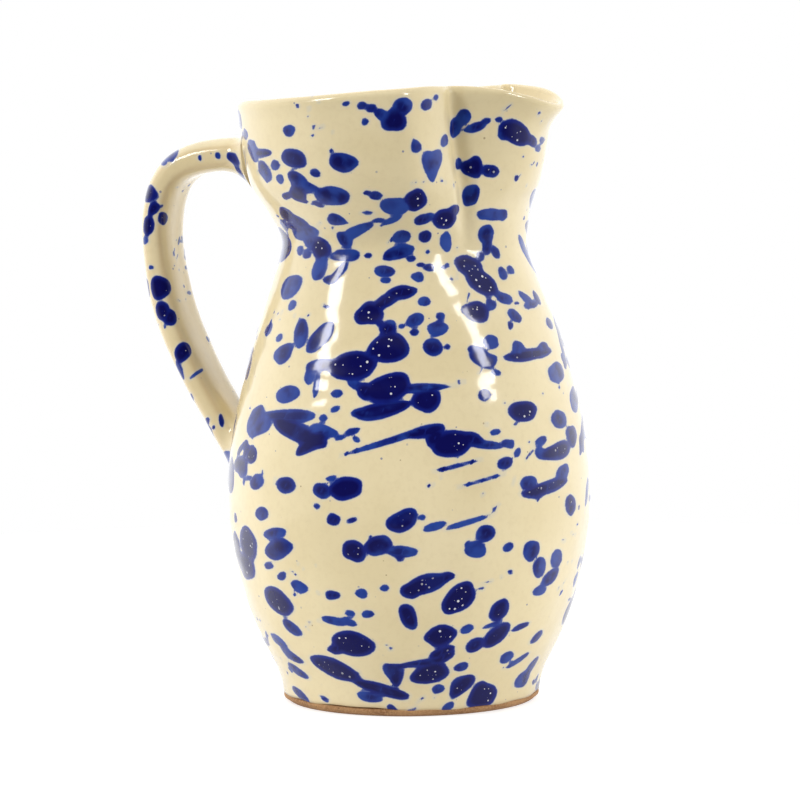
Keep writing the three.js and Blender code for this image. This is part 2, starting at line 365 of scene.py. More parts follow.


# %% [markdown]
# The big blots on the front are set one by one, as a potter would with a brush. Each is given as
# the camera sees it: mm to the right of the axis, height, then its length, its width, its tilt
# in degrees, and if needed how much its far end thins and how strong the colour is.

# %% Blots on the front, from the rim down
COLLAR_BLOTS = [
    (-4.6, 246, 10, 9.4, 80, 0, 0.7), (-1, 251.2, 7.4, 7), (-10.2, 248.6, 5.6, 4.2, -30),
    (-13.8, 250.6, 4.4, 3.4), (-17.4, 251.4, 4.2, 3.2), (-23.8, 252.4, 3.2, 2, 15),
    (8.2, 253, 4.8, 4, 80, 0, 0.9), (12.2, 255.6, 2.2, 2.4), (-16.5, 245, 3, 2.8),
    (-47.8, 241, 5.2, 4.6), (4.2, 235.6, 5.4, 3.8, 110, 0.45), (10.6, 227.6, 12.4, 6.6, -95, 0.4, 0.55),
    (-25.4, 229.4, 12, 7.4, -10), (-45.4, 228.8, 10.4, 7.8, -35), (-53.4, 226.6, 4.4, 3.6, 80),
    (-57.4, 223.4, 9, 4.6, 100), (-62.6, 231, 10, 5, 100, 0, 0.4), (-37, 224, 4.4, 3.4, -20),
    (-43, 219, 11.4, 6.4, -58), (-37, 217.6, 8, 2.6, -38), (-30, 215.6, 12.6, 8.8, -4),
    (-36, 211.6, 4, 2.6, -45), (-12.2, 215.4, 4.8, 4), (-15.4, 216.6, 3, 2.2),
    (-5, 211.2, 9.6, 8.4, 0, 0, 0.25), (3.8, 213.8, 10, 8, 76, 0, 1), (-27.8, 206, 7, 5.4, -20, 0.5),
    (22.8, 247.2, 6.4, 6), (19.4, 243.2, 9, 6, 64, 0.2), (27.4, 243.4, 11, 3.8, 14),
    (32, 245.8, 5, 2.6, 18), (37, 245.6, 3.6, 2.2, 10), (44.6, 239.6, 15, 10, -4, 0, 1),
    (50.4, 236.4, 6, 5, -40, 0, 1), (39, 239.4, 6, 5, 50), (53.6, 233.4, 3, 3), (55, 236.6, 3.4, 3),
    (26.6, 226.8, 10.6, 8.2, 10, 0, 0.9), (34, 225.8, 9, 5.2, -4, 0, 0.9),
    (15.5, 238, 4.8, 3.2, 75, 0, 0.4), (20.4, 229, 4.6, 3.2, 80), (25.6, 216, 10, 7.6, 72, 0, 0.6),
]
NECK_BLOTS = [
    (-43.4, 203, 8, 4.6, 105, 0.2), (-41, 199.6, 10, 6.6, 20), (-38.8, 196.2, 7, 5, -55),
    (-45.4, 201.6, 5.4, 3.4, 150), (-20.4, 202, 14.6, 4.4, 32, 0.1, 0.4),
    (-24.6, 198.6, 7.4, 5.4, -60, 0, 0.5), (-5.6, 205.6, 8, 2.6, 28, 0, 0.3),
    (-11, 205.8, 4.4, 2.2, 8, 0, 0.3), (6.4, 205.8, 6.6, 4.6, 20), (9.6, 207.2, 3.8, 3.6),
    (15.4, 206.6, 9.8, 9.4, 0, 0, 1), (19, 210.2, 5.4, 4.6, 40, 0, 0.9), (-1.8, 199.6, 7, 5.6, 20),
    (7.4, 199.2, 5, 5.4, 0, 0, 0.9), (15.8, 197.4, 8, 5, 100, 0, 0.3), (-3, 193.2, 14, 5.4, 14),
    (-34.4, 194.6, 9.4, 8, -70, 0, 1), (-24.4, 191.6, 12.4, 5, 2),
    (-34.6, 186, 11.6, 5.6, 82, 0.1, 0.5), (-27.4, 185, 10.4, 3.6, 56, -0.3, 0.6),
    (-30.6, 182.6, 6, 3.4, 0, 0, 0.6), (-15.4, 192, 3.4, 2.2, -10), (-9, 186.4, 7.8, 5.2, 0),
    (-8.6, 182, 4.4, 2.6), (9.4, 187.2, 4.6, 3.2), (6, 188.2, 3.4, 1.8), (4.6, 183.2, 5.2, 4.2, -10),
    (-40, 191, 3.6, 3.8), (-43, 192, 2.6, 4), (34.6, 207.6, 13, 5.4, -8), (30.4, 208.2, 5, 4),
    (38.6, 206.6, 5.4, 4.6, -60), (31.8, 200.6, 9, 6.4, 95), (32.6, 195.2, 7, 4.2, 80),
    (36, 192, 5.4, 3.6, -70), (29.4, 192.2, 4, 3.4, 60), (24.8, 188.2, 11, 9, -30, 0, 0.9),
    (29.8, 182.6, 15, 9.4, -52, 0, 1), (38.4, 183.4, 5.6, 3.4, 95), (42, 184, 3.8, 2.8, 95),
]
SHOULDER_BLOTS = [
    (-47, 176.6, 10.8, 7.4, 74, 0, 0.4), (-46.4, 169.8, 4.6, 3, 80, 0, 0.4),
    (-15.4, 168.2, 11.6, 9.6, 20, 0, 1), (-8.8, 173.4, 12, 5.4, 32, 0, 0.9),
    (-1.6, 177.4, 12, 6, 8, 0, 0.9), (7, 173.4, 5, 4.2), (-10.6, 164.8, 3.4, 2.8),
    (-6.6, 164.8, 4.2, 3), (-1.6, 164.4, 2.6, 2.2), (3.8, 166.6, 7.6, 5.2, 24), (1.4, 165.6, 3, 2.4),
    (13.4, 168, 3.6, 3.4), (12.6, 162.6, 7.8, 6.6, -8), (10.6, 155, 8.2, 7.2, -24),
    (16, 155.4, 2.6, 2.4), (-6.8, 155.8, 15.8, 12.8, 4, 0, 1), (-7.4, 162, 7, 6, 0, 0, 1),
    (-12.6, 153.4, 7, 6, 60, 0, 1), (-22, 147.8, 19, 12.2, 8, 0, 1), (-34, 147.6, 13, 5.2, 10),
    (-39, 142.4, 9, 4, 84, 0.2, 0.4), (-35, 158, 15, 7, 62, 0, 0.6),
    (-42.4, 158.6, 13, 5.4, 96, 0, 0.5), (-49.8, 150.4, 9.4, 6.6, 60, 0, 0.5),
    (-51.4, 156, 3.6, 2.4, 70), (-65, 141, 12, 6, 95, 0, 0.5), (-56, 158.4, 5, 3, 80),
    (39.4, 173.6, 7, 4.8, -30), (28.6, 170, 9.6, 9, 0, 0, 1), (23.6, 171, 4, 3.4, 20),
    (34, 171.2, 4.6, 4, 60), (43.8, 165, 6.4, 4.4, -62), (48.6, 172.6, 8, 3, -60),
    (50.4, 169.4, 6, 2.8, 10), (52.4, 173, 6, 2.6, 100), (33.6, 156.8, 6.2, 6),
    (30, 151.6, 11, 7.2, -45), (33.8, 149.4, 6, 5, 30), (26.6, 154.4, 4, 3, 10),
    (50.4, 149.6, 20, 5, 3, 0.2, 0.9), (45.2, 151.4, 7, 5.4, 80), (55.4, 150.6, 7, 4.4, 60),
    (58, 160, 5, 3.6, 100), (61, 138, 9, 7, 70), (31, 136.4, 5.4, 4.8, 30), (36.4, 143.6, 4, 2.6, -20),
    (47.4, 126.6, 11, 9, 10, 0, 1),
]
BELLY_BLOTS = [
    (-7.4, 139.2, 19, 11.8, 14, 0, 1), (9, 139.2, 20, 3.6, 3, 0.6, 0.6),
    (8, 134.6, 11.6, 10.2, 10, 0, 1), (-16, 137.6, 8, 7, -30, 0, 0.9),
    (-9.4, 130.2, 22, 7, 13, 0.1, 0.8), (-17, 129.2, 11, 4.4, 2, 0, 0.6), (-27.7, 137.4, 5, 3.3),
    (-33.4, 126.4, 3.4, 3.2), (-28.5, 130.2, 4.4, 2.4, 30), (-36.5, 138.7, 12, 2.2, 90, 0.3),
    (-20.4, 140, 7, 3.6, -24), (-48, 133.4, 9.8, 7, 18), (-61, 120.6, 10, 5, 70, 0, 0.5),
    (-62.6, 114.6, 9, 5, 108, 0, 0.5), (-58.6, 116.6, 8, 5.6, 40, 0, 0.6),
    (-48.4, 124.4, 22, 5.6, 4, -0.2, 0.5), (-43.4, 117.6, 24, 8, -22, 0, 0.8),
    (-37.6, 114.2, 15, 6.6, 38, 0, 0.8), (-33, 121, 12, 4.6, -14, 0.2, 0.5),
    (-21.4, 121.8, 6.4, 2.8, 20), (-27, 119.4, 5, 2, 15), (-8, 117.4, 36, 2.8, 17, -0.3, 0.6),
    (8, 121.6, 16, 5.2, 12, -0.2, 0.8), (18.4, 117.2, 17, 11, 8, 0, 1), (11.4, 119.4, 9, 7, 30, 0, 1),
    (26.4, 118.4, 10, 6, -20, 0, 0.9), (33.6, 115.2, 12, 3.4, -8, 0.2), (40.6, 113.6, 5.4, 3.4, -20),
    (36, 119, 4.6, 2.4, 10), (39.4, 106.4, 7, 4.6, 20), (44.6, 109.4, 4, 2.6, 60),
    (21, 107.4, 18, 1.7, 12, 0.2, 0.6), (30.6, 102.2, 18, 1.4, 13, 0, 0.5), (62, 119, 8, 6, 95),
    (67.4, 112, 9, 5, 95, 0, 0.8), (54.6, 113.4, 5, 3.4, 20), (61.4, 105.4, 13, 7, 14, 0, 0.9),
    (54, 108, 6, 4, -50), (-48.6, 96.2, 7.6, 7), (-24.2, 99, 14.4, 9.2, 8, 0, 1),
    (-34.2, 96.6, 7.4, 6.4, 0), (-30.4, 102.8, 4.6, 2.4, 16), (-29.2, 86.4, 5.8, 5, 0, 0, 0.9),
    (-36, 89.4, 2.8, 2.4), (-2.2, 85.6, 13.6, 8.6, 28, 0, 0.9), (10.8, 84, 9.6, 3.4, 14, 0, 0.3),
    (6.4, 86.8, 3, 2.4), (24.6, 85.4, 19, 2.2, 14, 0.3, 0.3), (49.4, 97, 7, 6),
    (57, 93.2, 20, 5.4, 12, 0, 0.9), (51, 91.6, 8, 3, -10), (67, 82, 9, 4, 95, 0, 0.9),
    (64, 96, 7, 5, 60), (-67, 99, 9, 6, 95, 0, 0.6), (-60.6, 93.4, 7, 5, 70, 0, 0.6),
    (-58.4, 80.4, 6, 5, 60), (-53.6, 76, 9.6, 4.6, 20), (-52.2, 70.4, 12, 8, 34, 0, 0.8),
    (-64.6, 66, 14, 8, 88, 0, 1), (-65.6, 57, 12, 9, 80, 0, 1), (-20.8, 73.8, 10, 8.8, -20, 0, 0.9),
    (-11.2, 75.8, 11, 8.4, 20, 0, 0.8), (-1.6, 73.8, 12.6, 4.8, -4, 0.2, 0.5), (31.8, 80, 8, 7, 40),
    (28, 74, 8.6, 7, -20), (51, 68.8, 9, 6.4, 88), (41, 71, 4.6, 3.6, 30),
]
HEEL_BLOTS = [
    (-52.2, 48.6, 13, 9, -66, 0, 0.9), (-43.2, 54.4, 6.6, 5, -30), (-50, 59, 4.4, 3, 50),
    (-55.6, 61, 4, 2.8, 20), (7.6, 59.6, 19, 8, 17, 0, 0.9), (1.6, 57.4, 8, 6.6, -10, 0, 0.9),
    (14.6, 62.6, 9, 4.6, 22, 0, 0.9), (20.6, 54.8, 15.4, 10.6, 52, 0, 1), (54, 61, 9, 5, 95),
    (58, 55, 8, 5, 60), (61, 60.6, 8, 4.4, 95), (54, 52, 5, 4.4, 10), (-17.6, 56.2, 4.8, 4.2),
    (-29.6, 55.8, 5.8, 4.2, 8), (-8.8, 58.6, 3.6, 3), (0.8, 47.4, 12, 6.4, -68, 0.1, 0.8),
    (-15.2, 48.6, 4.8, 3.4, 10), (-22.6, 48.4, 4, 2.8, -20), (-29.4, 45.4, 9.4, 3.8, -12),
    (-22.6, 45, 6, 3.2, -30), (-21.4, 36.4, 15, 12, -4, 0, 1), (-27.6, 34.2, 8, 5, 30, 0, 0.9),
    (14, 39.2, 12, 9.6, 24, 0, 1), (14.4, 32.6, 9.6, 4.8, 30, 0, 0.9), (37.4, 47.4, 9.8, 7, 78, 0, 0.9),
    (35, 42, 7, 2.2, 20), (36.2, 37.2, 12.2, 7.4, 54, 0, 1), (27.6, 35.6, 7.4, 6, 60, 0, 0.9),
    (24, 42.6, 5, 4, 40), (-28.8, 26.4, 16.6, 9.4, -38, 0, 0.9), (-5, 24.8, 11.8, 6.2, -82, 0.1, 0.8),
    (9.4, 24.4, 13, 10.4, 30, 0, 1), (5.2, 28.6, 17, 3.6, 10, -0.3, 0.8),
    (14.8, 30.6, 9, 4.6, 34, 0, 0.9), (22.2, 20.4, 11.2, 7.4, 54, 0, 0.9),
    (30.6, 15.6, 12, 11, 92, 0.35, 1), (-10.4, 18.8, 21, 5.6, -18, 0, 0.8),
    (-15, 14.8, 9.8, 4.8, -12, 0, 0.5), (-5.8, 10.6, 5.4, 3.4, -48), (16.4, 11.2, 5.4, 3.4, 40),
    (12.8, 18, 4.8, 4, 20), (-46, 37.6, 8.4, 4.6, -60), (-51.6, 32, 7, 4, -56), (-46.2, 26, 8, 4, -58),
    (-43.8, 20.4, 8, 3.6, -56), (-42.6, 11, 8, 3.6, -48), (-33, 13, 4, 2, -40), (47, 16.4, 7.6, 5, 86),
    (45, 24, 8, 2.6, 50), (50.4, 22, 9, 3, 75), (21.6, 27.6, 5, 4.2, 40), (-20, 21.6, 4.6, 2, 10),
    (40, 26.6, 5.6, 4.4, 80), (52.6, 34, 6, 3, 70), (46, 38.6, 6, 3, 20),
]


print(len(HEEL_BLOTS), "blots lie round the heel, and more above it")

# %% [markdown]
# The lists say where a blot is seen, so its place on the pot has to be found. A helper puts it on
# a sheet that is held up at the axis, and another finds the point of the pot that the camera sees
# behind that place on the sheet. The middle of the pot is nearer to the camera than its sides, and
# looks a little larger. The heights in the lists were judged with a scale that differed a
# little between the middle of the pot, its flanks and its sides, and one table of four rows brings
# them back to the scale of the sheet. It holds for this pot and this camera only.

# %% Find where a blot goes
# Each row: mm from the axis, where height 0 falls on the sheet, and what a mm of height is there.
RULER = np.array([(30, -138.9, 1.035), (42, -132.8, 1.015), (52, -132.8, 1.015), (62, -125.3, 0.991)])
BELLY = 76  # mm from the axis to the side of the belly
LOOKS_LARGER = 0.0376  # the middle of the belly against its sides
SIDES_LARGER = 0.0026
LIST_ZERO = 2.7  # where the lists' zero falls on the sheet, 0.8 mm short of the axis


def on_sheet(across, height):
    """A blot's place on the sheet at the axis, in mm from the middle of the view."""
    out = abs(across)
    larger = SIDES_LARGER + LOOKS_LARGER * math.sqrt(max(0, 1 - (out / BELLY) ** 2))
    start, stretch = (np.interp(out, RULER[:, 0], RULER[:, k]) for k in (1, 2))
    return across * (1 + larger) + LIST_ZERO, start + stretch * height


def seen_on_sheet(points):
    """Where the camera sees points, in mm on the sheet, and which of them face the camera."""
    bpy.context.view_layer.update()
    turn = np.array(camera.matrix_world.to_3x3())
    eye = np.array(camera.location) / MM
    local = (points - eye) @ turn
    focus = (camera.location - aim).length / MM
    sheet = local[..., :2] / -local[..., 2:] * focus
    normal = np.cross(np.roll(points, -1, 1) - np.roll(points, 1, 1), np.gradient(points, axis=0))
    normal /= np.linalg.norm(normal, axis=-1, keepdims=True) + 1e-9
    sight = (eye - points) / np.linalg.norm(eye - points, axis=-1, keepdims=True)
    return sheet, (normal * sight).sum(-1)


def spot(sheet, facing, across, height):
    """Row and column of the point that is seen at a place, and how squarely it is seen."""
    turned_away = np.where(facing > 0.1, 0, 1000)
    miss = np.linalg.norm(sheet - on_sheet(across, height), axis=-1) + turned_away
    row, column = np.unravel_index(miss.argmin(), miss.shape)
    return row, column, min(1.0, max(0.45, facing[row, column]))


# %% Set the blots on the front
field_rows = slice(wall_start, len(profile))
wall = GlazeField(angles, wall_length[field_rows], profile[field_rows, 0])
front_rng = np.random.default_rng(3)
front_blots = COLLAR_BLOTS + NECK_BLOTS + SHOULDER_BLOTS + BELLY_BLOTS + HEEL_BLOTS
wall_sheet, wall_facing = seen_on_sheet(body_points[wall_start:wall_start + OUTSIDE_ROWS + len(lip)])
for across, height, *shape in front_blots:
    row, column, squeeze = spot(wall_sheet, wall_facing, across, height)
    wall.blot(front_rng, angles[column], wall.ways[row], *shape, squeeze=squeeze)
print(len(front_blots), "blots are set by hand on the front")

# %% [markdown]
# Round the rest of the pot, and for the small drops between the big ones, a seeded loop flicks
# the brush: each flick is a line of drops that rises gently, with one big drop and smaller ones.

# %% Flick the brush round the rest of the pot
BIG_FLICKS = 250
BIG_DROP = 8.2  # the usual size of a flick's big drop, in mm
BIGGEST_DROP = 17
SMALL_FLICKS = 160
SMALL_DROP = 1.9
BODY_RADIUS = 66  # a middling radius, which turns mm round the pot into an angle
flick_rng = np.random.default_rng(21)
rim_way = wall_length[wall_start + OUTSIDE_ROWS - 1]


def flick(field, rng, angle, way, biggest, drops, radius):
    """A line of drops from one stroke of the brush, which mostly rises gently."""
    heading = rng.normal(14, 26)
    for drop in range(drops):
        size = biggest * (1 if drop == 0 else rng.uniform(0.2, 0.6))
        stretch = rng.uniform(1, 1.5) if rng.random() < 0.75 else rng.uniform(1.8, 3.4)
        tilt = heading + rng.normal(0, 22)
        field.blot(rng, angle, way, size * stretch, size / stretch**0.4, tilt,
                   rng.normal(0, 0.12), 0.35 + 0.65 * rng.random())
        gap = size * 0.45 + rng.uniform(1, 9)
        way += gap * math.sin(math.radians(heading + rng.normal(0, 30)))
        angle += gap * math.cos(math.radians(heading)) / radius * rng.choice([-1, 1], p=[0.3, 0.7])


def facing_front(angle):
    """Whether a place is on the side that has its blots listed one by one."""
    return math.cos(angle - FRONT) > 0.25


for _ in range(BIG_FLICKS):
    angle, way = flick_rng.uniform(-math.pi, math.pi), flick_rng.uniform(0, rim_way)
    size = min(flick_rng.lognormal(math.log(BIG_DROP), 0.42), BIGGEST_DROP)
    drops = int(flick_rng.integers(2, 7))
    if not facing_front(angle):
        flick(wall, flick_rng, angle, way, size, drops, BODY_RADIUS)
for _ in range(SMALL_FLICKS):
    angle, way = flick_rng.uniform(-math.pi, math.pi), flick_rng.uniform(0, rim_way)
    size = flick_rng.lognormal(math.log(SMALL_DROP), 0.4)
    flick(wall, flick_rng, angle, way, size, int(flick_rng.integers(2, 5)), BODY_RADIUS)

wall.store(body.data, wall_start)
covered = (wall.depth[:OUTSIDE_ROWS] > 0).mean()
print("Cobalt covers", round(100 * covered), "% of the outside")

# %% [markdown]
# ## Shader helpers
#
# The same glaze covers the body and the handle, so its parts are node groups. Building nodes in
# code is wordy, and a small helper keeps it readable: it adds a node, sets its settings and
# fills its inputs with a value or with another node's output.

# %% Node helpers
def colour(red, green, blue):
    """A colour given as on a colour card, 0 to 255, turned into the linear light of a shader."""
    card = np.array([red, green, blue]) / 255
    return (*np.where(card > 0.04045, ((card + 0.055) / 1.055) ** 2.4, card / 12.92).tolist(), 1)


def add(tree, kind, settings=None, **inputs):
    """A new node. Inputs go by name, or as in0, in1 by place, and take a value or an output."""
    node = tree.nodes.new(kind)
    for name, value in (settings or {}).items():
        setattr(node, name, value)
    for name, value in inputs.items():
        socket = node.inputs[int(name[2:])] if name[2:].isdigit() else node.inputs[name]
        if isinstance(value, bpy.types.NodeSocket):
            tree.links.new(value, socket)
        else:
            socket.default_value = value
    return node


def maths(tree, operation, *values):
    """Adds, multiplies or compares numbers over the surface."""
    inputs = {f"in{i}": value for i, value in enumerate(values)}
    return add(tree, "ShaderNodeMath", {"operation": operation}, **inputs).outputs[0]


def fade(tree, value, low, high, start=0.0, end=1.0):
    """Turns low..high into start..end, smoothly and no further."""
    return add(tree, "ShaderNodeMapRange", {"interpolation_type": "SMOOTHSTEP"}, in0=value,
               in1=low, in2=high, in3=start, in4=end).outputs[0]


def mix(tree, share, first, second):
    """Lays the second colour over the first."""
    return add(tree, "ShaderNodeMix", {"data_type": "RGBA"}, in0=share, in6=first, in7=second).outputs[2]


def new_group(name, inputs, outputs):
    """A shader node group. Inputs are name: (kind, default), outputs are name: kind."""
    tree = bpy.data.node_groups.new(name, "ShaderNodeTree")
    for socket, (kind, value) in inputs.items():
        item = tree.interface.new_socket(socket, in_out="INPUT", socket_type="NodeSocket" + kind)
        if value is not None:
            item.default_value = value
    for socket, kind in outputs.items():
        tree.interface.new_socket(socket, in_out="OUTPUT", socket_type="NodeSocket" + kind)
    return tree, tree.nodes.new("NodeGroupInput").outputs, tree.nodes.new("NodeGroupOutput").inputs


# %% [markdown]
# ## Cream glaze
#
# The cream is a tin glaze. It isn't one colour: it pools a little and lies thin over edges,
# where it turns tan, and dust and iron leave fine specks. Three noises of different size do
# that: clouds, a fine mottle, and single specks picked from the cells of a Voronoi texture.

# %% Cream glaze group
def speckles(tree, place, cell, size, share):
    """A mask of round specks: one in a share of the cells, with the cell and size in mm."""
    cells = add(tree, "ShaderNodeTexVoronoi", Vector=place, Scale=1000 / cell)
    luck = add(tree, "ShaderNodeSeparateColor", in0=cells.outputs["Color"]).outputs
    picked = maths(tree, "LESS_THAN", luck[0], share)
    radius = maths(tree, "MULTIPLY", luck[1], size / cell)
    inside = maths(tree, "SUBTRACT", radius, cells.outputs["Distance"])
    return maths(tree, "MULTIPLY", fade(tree, inside, 0, 0.12 * size / cell), picked)


def noise(tree, place, size, detail=3.0, roughness=0.5):
    """Soft random values from 0 to 1, with marks of about this size in mm."""
    return add(tree, "ShaderNodeTexNoise", Vector=place, Scale=1000 / size, Detail=detail,
               Roughness=roughness).outputs[0]


cream, given, result = new_group(
    "cream_glaze_colours",
    {"Place": ("Vector", None), "Thin": ("Float", 0.0)},
    {"Color": "Color", "Roughness": "Float", "Height": "Float"},
)
clouds = fade(cream, noise(cream, given["Place"], 45, 2), 0.35, 0.7)
mottle = fade(cream, noise(cream, given["Place"], 2.6, 4, 0.65), 0.42, 0.75)
tone = mix(cream, clouds, colour(233, 218, 178), colour(226, 210, 168))
tone = mix(cream, maths(cream, "MULTIPLY", mottle, 0.16), tone, colour(206, 186, 142))
tone = mix(cream, maths(cream, "MULTIPLY", given["Thin"], 0.55), tone, colour(196, 160, 112))
iron = maths(cream, "MULTIPLY", speckles(cream, given["Place"], 7, 0.55, 0.3), 0.55)
tone = mix(cream, iron, tone, colour(132, 100, 66))
dust = speckles(cream, given["Place"], 3.4, 0.6, 0.3)
patches = fade(cream, noise(cream, given["Place"], 17, 2), 0.42, 0.6)
dust = maths(cream, "MULTIPLY", maths(cream, "MULTIPLY", dust, patches), 0.7)
tone = mix(cream, dust, tone, colour(84, 100, 156))
cream.links.new(tone, result["Color"])
wetness = noise(cream, given["Place"], 9, 3)
cream.links.new(fade(cream, wetness, 0.3, 0.7, 0.1, 0.2), result["Roughness"])
cream.links.new(noise(cream, given["Place"], 5.5, 2), result["Height"])
print("Cream glaze group with", len(cream.nodes), "nodes")

# %% [markdown]
# ## Cobalt over the cream
#
# Cobalt slip sinks into the glaze. Where it lies deep it is nearly navy, towards its edge it
# thins to grey blue, and round it the cream turns pale where the two have run. Thick drops
# boil a little in the kiln, which leaves pinholes: they are dented in the height, and painted
# near white as glints, a painted highlight. The group reads the depth and the tone that were
# stored on the mesh.

# %% Cobalt group
cobalt, given, result = new_group(
    "cobalt_over_cream",
    {"Place": ("Vector", None), "Depth": ("Float", 0.0), "Strength": ("Float", 0.6),
     "Cream": ("Color", (1, 1, 1, 1))},
    {"Color": "Color", "Cover": "Float", "Height": "Float"},
)
ragged = maths(cobalt, "SUBTRACT", noise(cobalt, given["Place"], 1.5, 3, 0.6), 0.5)
depth = maths(cobalt, "MULTIPLY_ADD", ragged, 0.45, given["Depth"])
halo = maths(cobalt, "MULTIPLY", fade(cobalt, depth, -1.1, -0.1), 0.42)
paint = mix(cobalt, halo, given["Cream"], colour(206, 204, 196))
paint = mix(cobalt, fade(cobalt, depth, -0.15, 0.15), paint, colour(88, 104, 164))
streaks = fade(cobalt, noise(cobalt, given["Place"], 9, 2, 0.5), 0.33, 0.67, -0.5, 0.5)
laden = maths(cobalt, "ADD", given["Strength"], maths(cobalt, "MULTIPLY", streaks, 0.4))
middle = mix(cobalt, fade(cobalt, laden, 0.2, 0.95), colour(40, 70, 154), colour(21, 33, 120))
paint = mix(cobalt, fade(cobalt, depth, 0.0, 0.5), paint, middle)
heart = maths(cobalt, "MULTIPLY", fade(cobalt, depth, 0.5, 2.4), fade(cobalt, laden, 0.3, 0.9))
paint = mix(cobalt, heart, paint, colour(13, 14, 82))
# Pinholes in the thickest drops: dented in the height, and painted near white as glints, a painted
# highlight.
bubbles_and_glints = speckles(cobalt, given["Place"], 1.5, 0.56, 0.5)
pinholes_and_glints = maths(cobalt, "MULTIPLY", bubbles_and_glints, fade(cobalt, depth, 1.6, 2.4))
pinholes_and_glints = maths(cobalt, "MULTIPLY", pinholes_and_glints, fade(cobalt, given["Strength"], 0.84, 0.96))
paint = mix(cobalt, pinholes_and_glints, paint, colour(214, 214, 222))
cobalt.links.new(paint, result["Color"])
cobalt.links.new(fade(cobalt, depth, -0.1, 0.4), result["Cover"])
thick = fade(cobalt, depth, -0.6, 1.2)
cobalt.links.new(maths(cobalt, "SUBTRACT", thick, pinholes_and_glints), result["Height"])
print("Cobalt group with", len(cobalt.nodes), "nodes")

# %% [markdown]
# ## The glaze material
#
# The Principled shader stays in the material, with the values that are the same all over set
# straight on it. The glaze is glass over clay: a slightly rough base under a smooth clear coat.
# The bump is fine orange peel, and the larger unevenness comes with the real geometry below.

# %% Glaze material
glaze = bpy.data.materials.new("cream_glaze_with_cobalt")
glaze.use_nodes = True
tree = glaze.node_tree
shader = tree.nodes["Principled BSDF"]
place = add(tree, "ShaderNodeTexCoord").outputs["Object"]
painted = {
    name: add(tree, "ShaderNodeAttribute", {"attribute_name": name}).outputs["Fac"]
    for name in ("splash", "tone", "thin")
}
base = add(tree, "ShaderNodeGroup", {"node_tree": cream}, Place=place, Thin=painted["thin"])
cover = add(tree, "ShaderNodeGroup", {"node_tree": cobalt}, Place=place, Depth=painted["splash"],
            Strength=painted["tone"], Cream=base.outputs["Color"])
height = maths(tree, "MULTIPLY_ADD", cover.outputs["Height"], 0.35, base.outputs["Height"])
bump = add(tree, "ShaderNodeBump", Strength=0.5, Distance=0.00006, Height=height)
tree.links.new(cover.outputs["Color"], shader.inputs["Base Color"])
tree.links.new(base.outputs["Roughness"], shader.inputs["Roughness"])
tree.links.new(bump.outputs["Normal"], shader.inputs["Normal"])
shader.inputs["Coat Weight"].default_value = 0.6
shader.inputs["Coat Roughness"].default_value = 0.085
shader.inputs["IOR"].default_value = 1.3
print("Glaze material with", len(tree.nodes), "nodes")

# %% [markdown]
# ## Handle
#
# The handle is a strap of clay, pulled wet between finger and thumb, so it is flat on the
# fingers' side and rounded outside, with a soft ridge where the thumb ran. It could be a curve
# with a bevel, but its ends have to melt into the wall. So the strap is a loft: the same section
# at each step of a path. Near the wall every point moves out along a quarter circle, which gives
# the web of clay that a potter smears over the joint, and the last ring ends inside the wall.

# %% Path and section of the strap
strap_path, strap_length = smooth_curve([
    (-58, 226.2), (-80, 225.8), (-95.5, 222.4), (-105, 214), (-109.3, 199.5),
    (-109, 182.5), (-103.9, 158.5), (-93, 134.2), (-78.8, 110.5), (-64, 86.5),
])
HALF_WIDTH = 13.8
HALF_THICKNESS = 7.5
STRAP_COLUMNS = 104
STRAP_ROWS = 236
FIRST_RING = 0.045  # share of the path at which the first ring lies
LAST_RING = 0.975


def strap_section():
    """The outline across the strap, as shares of half its width and half its thickness.

    It starts on the camera's side and runs over the outer face, so that the faces look outwards."""
    turn = np.linspace(0, 2 * math.pi, 4000)
    outer = np.sin(turn) > 0
    across = -np.sign(np.cos(turn)) * np.abs(np.cos(turn)) ** np.where(outer, 0.85, 0.7)
    through = np.sign(np.sin(turn)) * np.abs(np.sin(turn)) ** np.where(outer, 0.82, 0.66)
    through += np.where(outer, 0.04 * bell(np.abs(across) - 0.62, 0.2), 0.05 * bell(across, 0.5))
    through = np.clip(through, -1, 1)
    run = np.hypot(np.diff(across) * HALF_WIDTH, np.diff(through) * HALF_THICKNESS)
    along = np.concatenate([[0], np.cumsum(run)])
    even = np.linspace(0, along[-1], STRAP_COLUMNS + 1)[:-1]
    return np.interp(even, along, across), np.interp(even, along, through), along[-1]


across, through, strap_girth = strap_section()
print("The strap is", round(strap_length), "mm long and", round(strap_girth), "mm round")


# %% Fit the strap to the wall
def wall_distance(points):
    """How far points are outside the body's outer surface, in mm, measured level."""
    angle = np.arctan2(points[..., 1], points[..., 0])
    z = points[..., 2]
    radius = np.interp(z - rim_lift(angle, z), outside[:, 1], outside[:, 0]) + pinch(angle, z)
    return np.hypot(points[..., 0], points[..., 1]) - radius


WELD_DEPTH = 1.2  # how far under the wall's surface the handle ends
row_share = np.linspace(FIRST_RING, LAST_RING, STRAP_ROWS)
path_index = row_share * (len(strap_path) - 1)
path_steps = np.arange(len(strap_path))
centre = np.stack([np.interp(path_index, path_steps, strap_path[:, k]) for k in (0, 1)], -1)
heading = np.gradient(centre, axis=0)
heading /= np.linalg.norm(heading, axis=1)[:, None]
# Fingers leave the strap a little uneven along its length, and slightly twisted.
width = HALF_WIDTH * (1.06 - 0.12 * row_share)
width += 0.35 * np.sin(9 * row_share + 1) + 0.2 * np.sin(23 * row_share)
thickness = HALF_THICKNESS * (1 - 0.06 * row_share) - 0.2 + 0.22 * np.sin(14 * row_share)
twist = 0.035 * np.sin(5 * row_share + 0.6)
sideways = np.outer(width, across) - np.outer(thickness * twist, through)
outwards = np.outer(thickness, through) + np.outer(width * twist, across)
strap_x = centre[:, :1] + outwards * heading[:, 1:]
strap_z = centre[:, 1:] - outwards * heading[:, :1]
strap = np.stack([strap_x, sideways, strap_z], -1)

